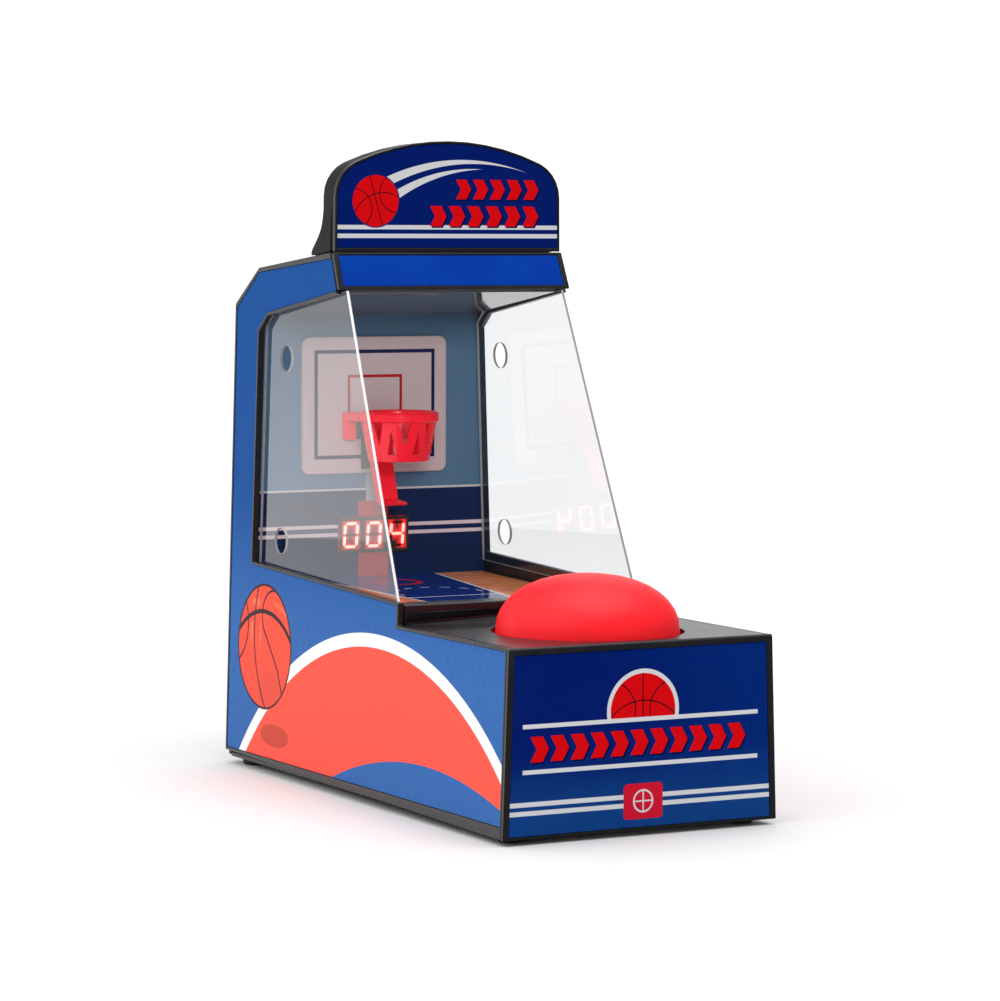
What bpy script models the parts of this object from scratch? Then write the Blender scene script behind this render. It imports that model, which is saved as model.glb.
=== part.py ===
"""A desk-top basketball machine: tapered housing, clear shield, hoop, score display and thump button.

Run it with blender --background --python part.py, or from the text editor.
Lengths are in millimetres in the design frame: X to the right, Y back from the front face, Z up from the
table. design_to_world() turns them into metres about the middle of the footprint.
"""

import math

import bmesh
import bpy
from mathutils import Matrix, Vector

MM = 0.001
COLLECTION_NAME = "basketball_machine"

# Overall form
WIDTH = 85.0
DEPTH = 178.5
DRAFT = 0.033
UNDERSIDE = 1.9
BAY_FLOOR = 3.3
SKIN = 1.9
GAP = 0.3
SEAM = 0.2
LABEL_RECESS = 0.8
LABEL_THICKNESS = 0.3

# Heights and depths that several pieces share
DECK_Z = 52.3
LIP_Z = 57.9
STEP_Y = 64.2
LIP_BACK_Y = 71.5
WALL_Y = 161.0
BACK_COVER_Y = 176.5
SHIELD_FOOT = (69.1, 58.3)
SHIELD_HEAD = (107.2, 143.9)
HOOD_FOOT = (107.2, 144.2)
HOOD_HEAD = (111.9, 155.0)
ROOF_EAVE = (162.8, 149.9)
BACK_EDGE = (DEPTH, 139.0)
FLOOR_FRONT_Z = 53.9
FLOOR_SLOPE = 0.028

# Clear panels
CLEAR = 0.8
WINDOW_INSET = SKIN + GAP
HOLE_RADIUS = 3.9
HOLE_Y = 146.4
HOLE_HEIGHTS = (69.5, 123.4)

# Thump button and kicker
DOME_Y = 29.8
DOME_RADIUS = 25.3
DOME_HEIGHT = 15.7
DOME_POWER = 2.2
DECK_HOLE_RADIUS = 26.6
DOME_FLANGE_RADIUS = 27.4
PRESS_CONTACT_Y = 40.4
KICKER_PIVOT = (62.0, 34.5)
BALL_RADIUS = 7.0
BALL_CENTRE = (84.0, 49.0)
CUP_RADIUS = 10.0
CUP_HOLE_RADIUS = 6.2

# Hoop and score lever
HOOP_Y = 144.0
RIM_TOP_Z = 107.2
RIM_BOTTOM_Z = 104.2
RIM_RADIUS = 12.0
RIM_BORE = 10.4
NET_BOTTOM_Z = 92.5
NET_PERIODS = 8
BACKBOARD_Y = 159.9
LEVER_PIVOT = (164.6, 103.0)

# Battery bay in the back cover
BAY_HALF_WIDTH = 25.6
BAY_LOW = 8.0
BAY_HIGH = 45.0
CELL_RADIUS = 5.25
CELL_LENGTH = 44.5

BLACK = (0.018, 0.018, 0.022)
DARK_GREY = (0.03, 0.03, 0.032)
RED = (0.75, 0.012, 0.02)
BLUE = (0.004, 0.06, 0.33)
NAVY = (0.006, 0.015, 0.13)
STEEL = (0.55, 0.55, 0.57)
GREEN = (0.01, 0.12, 0.04)
CLEAR_TINT = (0.92, 0.94, 0.95)


# ---------------------------------------------------------------- scene and placing

for stale in list(bpy.data.objects):
    bpy.data.objects.remove(stale, do_unlink=True)

parts = bpy.data.collections.new(COLLECTION_NAME)
cutters = bpy.data.collections.new("cutters")
bpy.context.scene.collection.children.link(parts)
bpy.context.scene.collection.children.link(cutters)


def design_to_world(x, y, z):
    """A design point in metres, from the middle of the footprint on the table."""
    return Vector((x, y - DEPTH / 2, z)) * MM


TO_WORLD = Matrix.Translation(design_to_world(0, 0, 0)) @ Matrix.Scale(MM, 4)


def half_width(z):
    """Half of the housing's width at a height: the walls lean in at DRAFT."""
    return WIDTH / 2 - DRAFT * z


def material(name, colour, roughness, metallic=0.0, alpha=1.0):
    made = bpy.data.materials.new(name)
    made.use_nodes = True
    shader = made.node_tree.nodes["Principled BSDF"]
    shader.inputs["Base Color"].default_value = (*colour, 1.0)
    shader.inputs["Roughness"].default_value = roughness
    shader.inputs["Metallic"].default_value = metallic
    shader.inputs["Alpha"].default_value = alpha
    return made


def keep(name, mesh, look):
    """Adds a mesh in design coordinates to the parts; look is (colour, roughness, ...) of its own material."""
    mesh.transform(TO_WORLD)
    mesh.name = name
    piece = bpy.data.objects.new(name, mesh)
    parts.objects.link(piece)
    mesh.materials.clear()
    mesh.materials.append(material(name, *look))
    return piece


def cutter(mesh):
    """A hidden helper for a Boolean, in design coordinates."""
    mesh.transform(TO_WORLD)
    helper = bpy.data.objects.new("cutter", mesh)
    helper.hide_render = True
    helper.display_type = "WIRE"
    cutters.objects.link(helper)
    return helper


def boolean(piece, mesh, operation):
    step = piece.modifiers.new(operation.lower(), "BOOLEAN")
    step.operation = operation
    step.solver = "EXACT"
    step.object = cutter(mesh)


def cut(piece, *meshes):
    for mesh in meshes:
        boolean(piece, mesh, "DIFFERENCE")


def join(piece, *meshes):
    for mesh in meshes:
        boolean(piece, mesh, "UNION")


def soften(piece, width, segments=2, angle=40):
    """Rounds the sharp edges that the piece has so far."""
    rounding = piece.modifiers.new("rounding", "BEVEL")
    rounding.width = width * MM
    rounding.segments = segments
    rounding.limit_method = "ANGLE"
    rounding.angle_limit = math.radians(angle)
    rounding.use_clamp_overlap = True


def smooth(piece, angle=40):
    piece.data.shade_smooth()
    piece.data.set_sharp_from_angle(angle=math.radians(angle))


def hinge_origin(piece, y, z):
    """Moves a piece's origin to a point on its joint axis, leaving its shape where it is."""
    origin = design_to_world(0, y, z)
    piece.data.transform(Matrix.Translation(-origin))
    piece.location = origin


# ---------------------------------------------------------------- basic shapes, in design coordinates


def block(x, y, z):
    """A box from three (low, high) pairs."""
    body = bmesh.new()
    bmesh.ops.create_cube(body, size=1.0)
    size = Matrix.Diagonal((x[1] - x[0], y[1] - y[0], z[1] - z[0], 1.0))
    middle = Matrix.Translation(((x[0] + x[1]) / 2, (y[0] + y[1]) / 2, (z[0] + z[1]) / 2))
    bmesh.ops.transform(body, matrix=middle @ size, verts=body.verts)
    return from_bmesh(body)


def rod(centre, axis, radius, length, segments=24, top_radius=None):
    """A cylinder or cone frustum about an axis, "X", "Y" or "Z", centred on a point."""
    quarter = math.pi / 2
    turns = {"X": Matrix.Rotation(quarter, 4, "Y"), "Y": Matrix.Rotation(-quarter, 4, "X"), "Z": Matrix()}
    body = bmesh.new()
    bmesh.ops.create_cone(
        body, cap_ends=True, cap_tris=False, segments=segments, radius1=radius,
        radius2=radius if top_radius is None else top_radius, depth=length,
        matrix=Matrix.Translation(centre) @ turns[axis],
    )
    return from_bmesh(body)


def from_bmesh(body):
    mesh = bpy.data.meshes.new("shape")
    body.to_mesh(mesh)
    body.free()
    return mesh


PLANES = {
    "YZ": Matrix(((0, 0, 1, 0), (1, 0, 0, 0), (0, 1, 0, 0), (0, 0, 0, 1))),
    "XZ": Matrix(((1, 0, 0, 0), (0, 0, -1, 0), (0, 1, 0, 0), (0, 0, 0, 1))),
    "XY": Matrix(),
}


def slab(outline, plane, low, high, holes=()):
    """A flat outline, with any holes, extruded across its plane from low to high."""
    curve = bpy.data.curves.new("outline", "CURVE")
    curve.dimensions = "2D"
    curve.fill_mode = "BOTH"
    curve.extrude = (high - low) / 2
    for loop in (outline, *holes):
        line = curve.splines.new("POLY")
        line.points.add(len(loop) - 1)
        line.use_cyclic_u = True
        for point, (u, v) in zip(line.points, loop):
            point.co = (u, v, 0.0, 1.0)
    mesh = solid_of_curve(curve)
    across = -1 if plane == "XZ" else 1
    shift = PLANES[plane].to_3x3() @ Vector((0, 0, across * (low + high) / 2))
    mesh.transform(Matrix.Translation(shift) @ PLANES[plane])
    return mesh


def solid_of_curve(curve):
    """The closed mesh of a curve, its loose caps welded on."""
    helper = bpy.data.objects.new("curve", curve)
    cutters.objects.link(helper)
    helper.hide_render = True
    graph = bpy.context.evaluated_depsgraph_get()
    mesh = bpy.data.meshes.new_from_object(helper.evaluated_get(graph))
    bpy.data.objects.remove(helper, do_unlink=True)
    body = bmesh.new()
    body.from_mesh(mesh)
    bmesh.ops.remove_doubles(body, verts=body.verts, dist=1e-4)
    bmesh.ops.recalc_face_normals(body, faces=body.faces)
    body.to_mesh(mesh)
    body.free()
    return mesh


def wire(points, radius, sides=2):
    """A round wire along design points; sides is the bevel resolution."""
    curve = bpy.data.curves.new("wire", "CURVE")
    curve.dimensions = "3D"
    curve.bevel_depth = radius
    curve.bevel_resolution = sides
    curve.use_fill_caps = True
    line = curve.splines.new("POLY")
    line.points.add(len(points) - 1)
    for point, place in zip(line.points, points):
        point.co = (*place, 1.0)
    return solid_of_curve(curve)


def smooth_path(points, steps=4):
    """A Catmull-Rom curve through the points."""
    ends = [points[0], *points, points[-1]]
    path = []
    for before, start, end, after in zip(ends, ends[1:], ends[2:], ends[3:]):
        for step in range(steps):
            t = step / steps
            path.append(tuple(
                0.5 * (2 * b + (c - a) * t + (2 * a - 5 * b + 4 * c - d) * t**2
                       + (3 * b - a - 3 * c + d) * t**3)
                for a, b, c, d in zip(before, start, end, after)
            ))
    return [*path, tuple(points[-1])]


def turned(profile, centre=(0.0, 0.0), steps=40):
    """A solid of revolution about a vertical axis at centre (x, y), from (radius, z) points."""
    body = bmesh.new()
    rings = []
    for radius, z in profile:
        turn = [0.0] if radius == 0 else [2 * math.pi * step / steps for step in range(steps)]
        rings.append([
            body.verts.new((centre[0] + radius * math.cos(a), centre[1] + radius * math.sin(a), z))
            for a in turn
        ])
    loops = list(zip(rings, rings[1:]))
    if profile[0][0] != 0:
        loops.append((rings[-1], rings[0]))
    for upper, lower in loops:
        for step in range(steps):
            after = (step + 1) % steps
            corners = [upper[step % len(upper)], lower[step % len(lower)],
                       lower[after % len(lower)], upper[after % len(upper)]]
            body.faces.new(list(dict.fromkeys(corners)))
    bmesh.ops.recalc_face_normals(body, faces=body.faces)
    return from_bmesh(body)


def rounded(points, radius, steps=4):
    """A closed outline with every corner rounded; radius may be one number or one for each corner."""
    count = len(points)
    radii = [radius] * count if isinstance(radius, (int, float)) else radius
    outline = []
    for index, corner in enumerate(points):
        here = Vector(corner)
        back = (Vector(points[index - 1]) - here).normalized()
        ahead = (Vector(points[(index + 1) % count]) - here).normalized()
        if radii[index] == 0:
            outline.append(tuple(here))
            continue
        half_angle = back.angle(ahead) / 2
        middle = here + (back + ahead).normalized() * radii[index] / math.sin(half_angle)
        start = here + back * radii[index] / math.tan(half_angle) - middle
        sweep = math.pi - 2 * half_angle
        turn = -1 if back.x * ahead.y - back.y * ahead.x > 0 else 1
        for step in range(steps + 1):
            angle = turn * sweep * step / steps
            outline.append((
                middle.x + start.x * math.cos(angle) - start.y * math.sin(angle),
                middle.y + start.x * math.sin(angle) + start.y * math.cos(angle),
            ))
    return outline


def circle(u, v, radius, steps=24):
    return [
        (u + radius * math.cos(2 * math.pi * step / steps), v + radius * math.sin(2 * math.pi * step / steps))
        for step in range(steps)
    ]


def rectangle(u, v):
    """The corners of a rectangle from two (low, high) pairs."""
    return [(u[0], v[0]), (u[1], v[0]), (u[1], v[1]), (u[0], v[1])]


def inset(points, distance):
    """A closed outline moved inwards by a distance, each corner along its mitre. It runs anticlockwise."""
    count = len(points)
    outline = []
    for index, corner in enumerate(points):
        here = Vector(corner)
        before = (here - Vector(points[index - 1])).normalized()
        after = (Vector(points[(index + 1) % count]) - here).normalized()
        inward = Vector((-before.y, before.x)) + Vector((-after.y, after.x))
        outline.append(tuple(here + inward * distance / (1 + before.dot(after))))
    return outline


def tapered(mesh, clearance):
    """Scales a mesh's X so that X = 1 lies on the housing's wall, moved in by clearance."""
    for vertex in mesh.vertices:
        vertex.co.x *= half_width(vertex.co.z) - clearance
    return mesh


def against_wall(outline, side, outer, inner, holes=()):
    """A plate parallel to a side wall (side is -1 or 1), between two depths in from the wall's outside."""
    mesh = slab(outline, "YZ", -(inner - outer) / 2, (inner - outer) / 2, holes)
    for vertex in mesh.vertices:
        vertex.co.x += side * (half_width(vertex.co.z) - (inner + outer) / 2)
    return mesh


def along(start, end, share):
    return (start[0] + (end[0] - start[0]) * share, start[1] + (end[1] - start[1]) * share)


def coil(y, x, low, high, radius, wire_radius, turns, steps=10):
    """A compression spring about a vertical axis."""
    count = turns * steps
    low += wire_radius
    high -= wire_radius
    return wire([
        (x + radius * math.cos(2 * math.pi * i / steps), y + radius * math.sin(2 * math.pi * i / steps),
         low + (high - low) * i / count)
        for i in range(count + 1)
    ], wire_radius)


# ---------------------------------------------------------------- housing

# The side wall's silhouette, and the bay that the clear side window fills
SIDE_OUTLINE = [
    (1.2, 1.6), (DEPTH - 1.9, 4.0), BACK_EDGE, ROOF_EAVE, (113.9, 154.9), (109.0, 143.1),
    (155.0, 135.9), (160.9, 131.2), (160.9, 62.4), (STEP_Y, 58.6), (STEP_Y, DECK_Z), (1.2, DECK_Z),
]
SIDE_LABEL = [
    (1.9, 5.0), (175.4, 5.0), (177.1, 137.9), (162.3, 148.6), (113.2, 153.2), (109.6, 143.8),
    (155.6, 136.7), (161.8, 131.7), (161.8, 61.6), (65.4, 57.8), (65.4, 51.4), (1.9, 51.4),
]


def side_wall(name, side):
    wall = keep(name, against_wall(SIDE_OUTLINE, side, 0.0, SKIN), (BLACK, 0.45))
    soften(wall, 0.5)
    cut(wall, against_wall(SIDE_LABEL, side, -1.0, LABEL_RECESS))


def side_label(name, side):
    outline = inset(SIDE_LABEL, 0.15)
    top = LABEL_RECESS - GAP - LABEL_THICKNESS
    keep(name, against_wall(outline, side, top, top + LABEL_THICKNESS), (BLUE, 0.15))


def front_housing():
    """The front wall, the deck round the button, the step and the lip under the shield, in one moulding."""
    section = [
        (0.5, UNDERSIDE), (2.4, UNDERSIDE), (2.4, 50.2), (62.2, 50.2), (62.2, 55.9), (69.7, 55.9),
        (69.7, 51.2), (LIP_BACK_Y, 51.2), (LIP_BACK_Y, LIP_Z), (STEP_Y, LIP_Z), (STEP_Y, DECK_Z),
        (0.5, DECK_Z),
    ]
    softened = rounded(section, [0, 0, 0, 0, 0, 0, 0, 0, 0.6, 0.6, 0.8, 0], 3)
    housing = keep("front_housing", tapered(slab(softened, "YZ", -1, 1), SKIN + SEAM), (BLACK, 0.4))
    fascia = rounded(rectangle((0.0, 1.0), (1.6, DECK_Z)), [0, 0, 0, 0.8], 3)
    join(housing, tapered(slab(fascia, "YZ", -1, 1), 0.0))
    cut(housing, rod((0, DOME_Y, DECK_Z), "Z", DECK_HOLE_RADIUS, 20, 48))
    recess = tapered(slab(rectangle((-1.0, LABEL_RECESS), (2.3, 50.4)), "YZ", -1, 1), 1.8)
    cut(housing, recess)


def front_label():
    top = LABEL_RECESS - GAP - LABEL_THICKNESS
    outline = rectangle((top, top + LABEL_THICKNESS), (2.45, 50.25))
    keep("front_label", tapered(slab(outline, "YZ", -1, 1), 1.95), (NAVY, 0.15))


def roof_cover():
    """The roof and the sloping rear shoulder, between the side walls."""
    inner_eave = (ROOF_EAVE[0] - 0.6, ROOF_EAVE[1] - 2.0)
    outline = [
        (114.4, 154.6), (114.4, 152.6), inner_eave, (BACK_EDGE[0] - 2.4, BACK_EDGE[1] + 0.0),
        (BACK_EDGE[0] - 0.3, BACK_EDGE[1] + 0.2), (ROOF_EAVE[0], ROOF_EAVE[1] - 0.25),
    ]
    roof = keep("roof_cover", tapered(slab(outline, "YZ", -1, 1), SKIN + SEAM), (BLACK, 0.45))
    soften(roof, 0.3, 1)


def hood_panel():
    """The sloping fascia over the play window: a full-width skin on a narrower rib."""
    def slope(share, depth):
        foot = along(HOOD_FOOT, HOOD_HEAD, share)
        return (foot[0] + depth * 0.917, foot[1] - depth * 0.399)

    skin = [HOOD_FOOT, (HOOD_FOOT[0] + 1.3, HOOD_FOOT[1]), slope(1.0, 1.2), slope(1.0, 0.0)]
    rib = [slope(0.22, 0.6), slope(0.22, 2.6), slope(0.93, 2.6), slope(0.93, 0.6)]
    panel = keep("hood_panel", tapered(slab(skin, "YZ", -1, 1), 0.0), (BLACK, 0.4))
    soften(panel, 0.35, 2)
    join(panel, tapered(slab(rib, "YZ", -1, 1), SKIN + GAP))
    recess = [slope(0.1, -1.0), slope(0.1, LABEL_RECESS), slope(0.93, LABEL_RECESS), slope(0.93, -1.0)]
    cut(panel, tapered(slab(recess, "YZ", -1, 1), 1.5))
    top = LABEL_RECESS - GAP - LABEL_THICKNESS
    outline = [slope(0.115, top), slope(0.115, top + LABEL_THICKNESS), slope(0.915, top + LABEL_THICKNESS),
               slope(0.915, top)]
    keep("hood_label", tapered(slab(outline, "YZ", -1, 1), 1.65), (BLUE, 0.15))


def back_cover():
    """The rear panel, with its screw seats, the battery opening and the switch slot."""
    panel = slab(rectangle((BACK_COVER_Y, DEPTH), (2.2, 138.4)), "YZ", -1, 1)
    cover = keep("back_cover", tapered(panel, SKIN + SEAM), (BLACK, 0.5))
    soften(cover, 0.3, 1)
    cut(cover, block((-BAY_HALF_WIDTH, BAY_HALF_WIDTH), (BACK_COVER_Y - 5, DEPTH + 5), (BAY_LOW, BAY_HIGH)))
    cut(cover, block((-5.5, 5.5), (BACK_COVER_Y - 5, DEPTH + 5), (SWITCH_Z - 2.4, SWITCH_Z + 2.4)))
    for x, z in SCREW_PLACES:
        cut(cover, rod((x, DEPTH, z), "Y", 2.9, 2.4, 20), rod((x, DEPTH, z), "Y", 1.5, 12, 16))


SWITCH_Z = 60.0
SCREW_PLACES = [(side * x, z) for x, z in ((34.0, 12.0), (31.0, 126.0)) for side in (-1, 1)]


def screws():
    """A pan head in its seat, with a cross recess, and the shank."""
    for number, (x, z) in enumerate(SCREW_PLACES, 1):
        screw = keep(f"back_screw_{number}", rod((x, DEPTH - 0.55, z), "Y", 2.5, 0.7, 20), (STEEL, 0.35, 1.0))
        join(screw, rod((x, DEPTH - 5.4, z), "Y", 1.2, 9.4, 12))
        cut(screw, block((x - 1.5, x + 1.5), (DEPTH - 0.6, DEPTH + 1), (z - 0.3, z + 0.3)),
            block((x - 0.3, x + 0.3), (DEPTH - 0.6, DEPTH + 1), (z - 1.5, z + 1.5)))


def base_plate():
    """The bottom plate, with the speaker grille."""
    outline = rectangle((2.7, BACK_COVER_Y - GAP), (UNDERSIDE, BAY_FLOOR - GAP))
    plate = keep("base_plate", tapered(slab(outline, "YZ", -1, 1), SKIN + GAP), (BLACK, 0.55))
    cut(plate, *[rod((x, y, UNDERSIDE), "Z", 0.9, 6, 10) for x, y in SPEAKER_HOLES])


SPEAKER_Y = 112.0
SPEAKER_HOLES = [(0.0, SPEAKER_Y)] + [
    (7.0 * math.cos(math.pi * turn / 3), SPEAKER_Y + 7.0 * math.sin(math.pi * turn / 3)) for turn in range(6)
]


def feet():
    pad = [(0.0, UNDERSIDE - GAP), (3.8, UNDERSIDE - GAP), (3.8, 0.7), (3.4, 0.0), (0.0, 0.0)]
    for front, y in (("front", 8.0), ("rear", DEPTH - 9.5)):
        for side, x in (("left", -35.6), ("right", 35.6)):
            keep(f"foot_{front}_{side}", turned(pad, (x, y), 24), (DARK_GREY, 0.85))


# ---------------------------------------------------------------- marquee

MARQUEE_Y = 111.8
MARQUEE_TOP = 187.1
MARQUEE_ARC = 76.0


def arch(half_foot, half_head, foot, top, shoulder, steps=10):
    """The marquee's outline: upright sides, rounded shoulders and a shallow arc across the top."""
    def crown(x):
        return top - MARQUEE_ARC + math.sqrt(MARQUEE_ARC**2 - x**2)

    arc_half = half_head * 0.82
    over = [(arc_half - 2 * arc_half * step / steps, crown(arc_half - 2 * arc_half * step / steps))
            for step in range(steps + 1)]
    corner = (half_head, crown(half_head))
    points = [(-half_foot, foot), (half_foot, foot), corner, *over, (-corner[0], corner[1])]
    radii = [0, 0, shoulder, *[0] * len(over), shoulder]
    return rounded(points, radii, 5)


def marquee():
    """A shallow arched box whose back flares to the roof, the sign plate on its front, and the label."""
    outline = arch(36.6, 36.3, 155.3, MARQUEE_TOP - 0.2, 10.6)
    shell = keep("marquee_shell", slab(outline, "XZ", 113.6, 120.6), (DARK_GREY, 0.5))
    soften(shell, 0.6, 2, 50)
    flare = [
        (115.0, 155.2), (127.2, 153.9), (127.1, 155.0), (126.4, 156.0), (124.8, 157.5), (122.7, 159.7),
        (121.3, 161.8), (120.5, 164.2), (120.0, 167.5), (115.0, 167.5),
    ]
    join(shell, tapered(slab(flare, "YZ", -1, 1), 0.4))
    cut(shell, slab(arch(34.4, 33.9, 158.0, MARQUEE_TOP - 2.8, 9.0), "XZ", 112.0, 118.8))
    sign = arch(36.9, 36.7, 155.1, MARQUEE_TOP, 11.0)
    plate = keep("marquee_plate", slab(sign, "XZ", MARQUEE_Y, 113.3), (BLACK, 0.4))
    soften(plate, 0.35, 2, 50)
    recess = arch(36.2, 36.0, 156.1, MARQUEE_TOP - 0.7, 10.4)
    cut(plate, slab(recess, "XZ", MARQUEE_Y - 1, MARQUEE_Y + LABEL_RECESS))
    top = MARQUEE_Y + LABEL_RECESS - GAP - LABEL_THICKNESS
    sheet = arch(36.05, 35.85, 156.25, MARQUEE_TOP - 0.85, 10.2)
    keep("marquee_label", slab(sheet, "XZ", top, top + LABEL_THICKNESS), (NAVY, 0.15))


# ---------------------------------------------------------------- play chamber


def clear_panels():
    """The sloping front shield between two flat side windows, each with two round ventilation holes."""
    thick = CLEAR / math.cos(math.atan2(SHIELD_HEAD[0] - SHIELD_FOOT[0], SHIELD_HEAD[1] - SHIELD_FOOT[1]))
    section = [SHIELD_FOOT, (SHIELD_FOOT[0] + thick, SHIELD_FOOT[1]),
               (SHIELD_HEAD[0] + thick, SHIELD_HEAD[1]), SHIELD_HEAD]
    look = (CLEAR_TINT, 0.03, 0.0, 0.25)
    keep("front_shield", tapered(slab(section, "YZ", -1, 1), WINDOW_INSET + CLEAR + 0.15), look)
    outline = [SHIELD_FOOT, (71.8, SHIELD_FOOT[1]), (71.8, 56.4), (160.6, 59.9), (160.6, 133.0),
               (155.2, 137.4), SHIELD_HEAD]
    holes = [circle(HOLE_Y, z, HOLE_RADIUS) for z in HOLE_HEIGHTS]
    for name, side in (("left_window", -1), ("right_window", 1)):
        keep(name, against_wall(outline, side, WINDOW_INSET, WINDOW_INSET + CLEAR, holes), look)


def court_floor():
    """The sloping court, which returns the ball to the cup over the kicker."""
    def floor_z(y):
        return FLOOR_FRONT_Z + FLOOR_SLOPE * (y - LIP_BACK_Y)

    start = LIP_BACK_Y + GAP
    end = WALL_Y - GAP
    low, high = floor_z(start), floor_z(end)
    section = [(start, low - 1.6), (end, high - 1.6), (end, high), (start, low)]
    court = keep("court_floor", tapered(slab(section, "YZ", -1, 1), WINDOW_INSET + CLEAR + GAP), (NAVY, 0.12))
    cup_y = BALL_CENTRE[0]
    rim_z = floor_z(cup_y) - 0.8
    join(court, rod((0, cup_y, (rim_z + 44.1) / 2), "Z", CUP_RADIUS + 1.2, rim_z - 44.1, 32))
    cup = rod((0, cup_y, 45.6 + 10), "Z", CUP_RADIUS, 20, 32)
    cut(court, cup, rod((0, cup_y, 45), "Z", CUP_HOLE_RADIUS, 20, 24))


def rear_wall():
    """The printed wall behind the hoop, with the score lever's slot and the display's window."""
    panel = slab(rectangle((WALL_Y, WALL_Y + 1.5), (50.0, 138.2)), "YZ", -1, 1)
    wall = keep("rear_wall", tapered(panel, SKIN + GAP), (BLUE, 0.2))
    cut(wall, block((-11.9, 11.9), (WALL_Y - 5, WALL_Y + 5), (63.5, 74.6)))
    cut(wall, *t_slot())


def t_slot():
    """The two cutters of the T-shaped slot that the score lever swings in."""
    return (block((-4.6, 4.6), (WALL_Y - 5, WALL_Y + 5), (89.0, 100.0)),
            block((-7.6, 7.6), (WALL_Y - 5, WALL_Y + 5), (98.2, 106.4)))


def backboard():
    outline = rounded(rectangle((-24.35, 24.35), (87.8, 129.15)), 2.4, 4)
    board = keep("backboard", slab(outline, "XZ", BACKBOARD_Y, BACKBOARD_Y + 0.8), ((0.55, 0.5, 0.5), 0.25))
    cut(board, *t_slot())


def ceiling_panel():
    section = [(110.0, 143.3), (160.6, 135.7), (160.6, 136.9), (110.0, 144.5)]
    keep("ceiling_panel", tapered(slab(section, "YZ", -1, 1), WINDOW_INSET + CLEAR + GAP), (BLUE, 0.1))


# ---------------------------------------------------------------- hoop, score lever and display


def net_openings():
    """Cutters for the net: upright triangles above the bottom band, and hanging ones below the rim."""
    meshes = []
    for index in range(2 * NET_PERIODS):
        upright = index % 2 == 0
        angle = math.pi * index / NET_PERIODS + math.radians(96)
        base, low, high = (2.7, 94.6, 101.6) if upright else (3.7, 97.2, RIM_BOTTOM_Z + 0.05)
        points = [(-base / 2, low), (base / 2, low), (0.0, high)] if upright else [
            (0.0, low), (base / 2, high), (-base / 2, high)]
        prism = slab(points, "XZ", -14.0, -6.5)
        prism.transform(Matrix.Translation((0, HOOP_Y, 0)) @ Matrix.Rotation(angle, 4, "Z"))
        meshes.append(prism)
    return meshes


def hoop():
    """The rim, its net and the mounting flange in one moulding."""
    net_top, net_bottom, wall = 11.3, 9.1, 1.1
    profile = [
        (RIM_BORE, RIM_TOP_Z - 0.5), (RIM_BORE + 0.5, RIM_TOP_Z), (RIM_RADIUS - 0.6, RIM_TOP_Z),
        (RIM_RADIUS, RIM_TOP_Z - 0.6), (RIM_RADIUS, RIM_BOTTOM_Z + 0.3), (RIM_RADIUS - 0.3, RIM_BOTTOM_Z),
        (net_top, RIM_BOTTOM_Z), (net_bottom, NET_BOTTOM_Z), (net_bottom - wall, NET_BOTTOM_Z),
        (net_top - wall, RIM_BOTTOM_Z),
    ]
    ring = keep("hoop", turned(profile, (0, HOOP_Y), 48), (RED, 0.35))
    cut(ring, *net_openings())
    flange = [(-11.1, 98.2), (-7.4, 98.2), (-7.4, 103.6), (7.4, 103.6), (7.4, 98.2), (11.1, 98.2),
              (11.1, 106.6), (-11.1, 106.6)]
    join(ring, slab(rounded(flange, [0.6, 0.3, 0.6, 0.6, 0.3, 0.6, 0.6, 0.6], 2), "XZ", 157.6, 159.6))
    neck = [(-11.0, 150.0), (11.0, 150.0), (11.0, 158.0), (-11.0, 158.0)]
    arms = keep("arms", slab(neck, "XY", RIM_BOTTOM_Z, 106.6), (RED, 0.35))
    cut(arms, rod((0, HOOP_Y, 105), "Z", RIM_BORE + 0.6, 12, 48))
    graph = bpy.context.evaluated_depsgraph_get()
    trimmed = bpy.data.meshes.new_from_object(arms.evaluated_get(graph))
    bpy.data.objects.remove(arms, do_unlink=True)
    trimmed.transform(TO_WORLD.inverted())
    join(ring, trimmed)
    smooth(ring, 35)


def score_lever():
    """A red lever that hangs in the slot from a pin; the falling ball strikes the lip under the net."""
    pivot_y, pivot_z = LEVER_PIVOT
    stem = [
        (157.6, 91.3), (158.4, 97.0), (160.6, 100.6), (162.6, 101.2), (164.6, 100.7), (167.0, 101.6),
        (171.0, 101.9), (171.0, 103.9), (167.0, 104.6), (164.6, 105.3), (161.6, 105.0), (157.2, 101.6),
        (154.2, 97.0), (153.3, 91.0), (149.9, 80.3), (144.6, 80.0), (143.3, 79.4), (144.6, 78.8),
        (150.6, 78.5), (153.2, 79.4),
    ]
    lever = keep("score_lever", slab(stem, "YZ", -3.1, 3.1), (RED, 0.35))
    soften(lever, 0.35, 1, 30)
    cut(lever, rod((0, pivot_y, pivot_z), "X", 1.0, 20, 16))
    smooth(lever, 50)
    hinge_origin(lever, pivot_y, pivot_z)
    keep("lever_pin", rod((0, pivot_y, pivot_z), "X", 0.8, 15.0, 16), (STEEL, 0.3, 1.0))
    bracket = keep("lever_bracket", block((-9.0, 9.0), (162.8, 164.4), (106.8, 110.0)), (BLACK, 0.5))
    for side in (-1, 1):
        join(bracket, block(sorted((side * 4.0, side * 6.0)), (163.0, 167.2), (100.8, 108.5)))
    join(bracket, block((-6.0, 6.0), (163.0, 173.5), (107.6, 110.0)))
    cut(bracket, rod((0, pivot_y, pivot_z), "X", 1.1, 30, 16))
    keep("lever_spring", coil(170.0, 0.0, 104.2, 107.3, 1.3, 0.22, 3, 8), (STEEL, 0.3, 1.0))
    switch = keep("score_switch", block((-3.0, 3.0), (167.5, 173.0), (94.6, 98.6)), (BLACK, 0.5))
    join(switch, rod((0, 170.2, 99.3), "Z", 1.3, 2.4, 12))


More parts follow.
